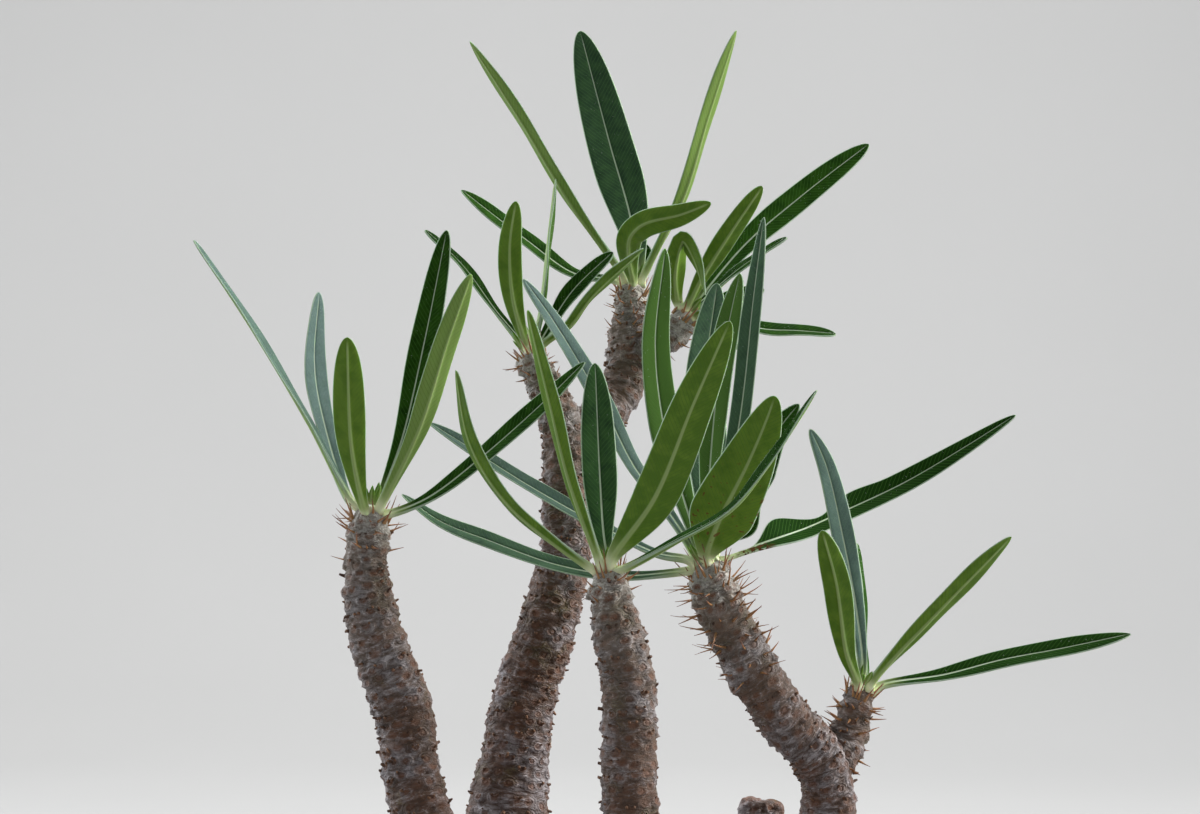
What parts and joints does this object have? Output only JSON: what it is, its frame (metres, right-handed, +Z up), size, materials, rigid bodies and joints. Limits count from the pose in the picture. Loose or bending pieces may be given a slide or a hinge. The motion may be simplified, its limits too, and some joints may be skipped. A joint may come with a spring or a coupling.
{
  "type": "potted pachypodium gracilius",
  "caption": "Potted caudiciform succulent: a squat swollen stem in a round pot, with spiny grey branches that end in crowns of narrow green leaves.",
  "frame": {"origin": "middle of the pot's flat underside", "axes": "+Z up, along the pot's axis; -Y towards the side that the picture shows; +X to that view's right"},
  "size_m": [0.1895, 0.1416, 0.3295],
  "materials": {
    "pot": "matte",
    "soil": "matte",
    "bark": "matte",
    "leaf": "satin"
  },
  "bodies": {
    "root": {"pot": "pot", "soil": "soil", "bark": "bark", "leaves_left": "leaf", "leaves_middle": "leaf", "leaves_right": "leaf", "leaves_far_right": "leaf", "leaves_rear_left": "leaf", "leaves_rear_top": "leaf", "leaves_rear_side": "leaf"}
  },
  "joints": []
}
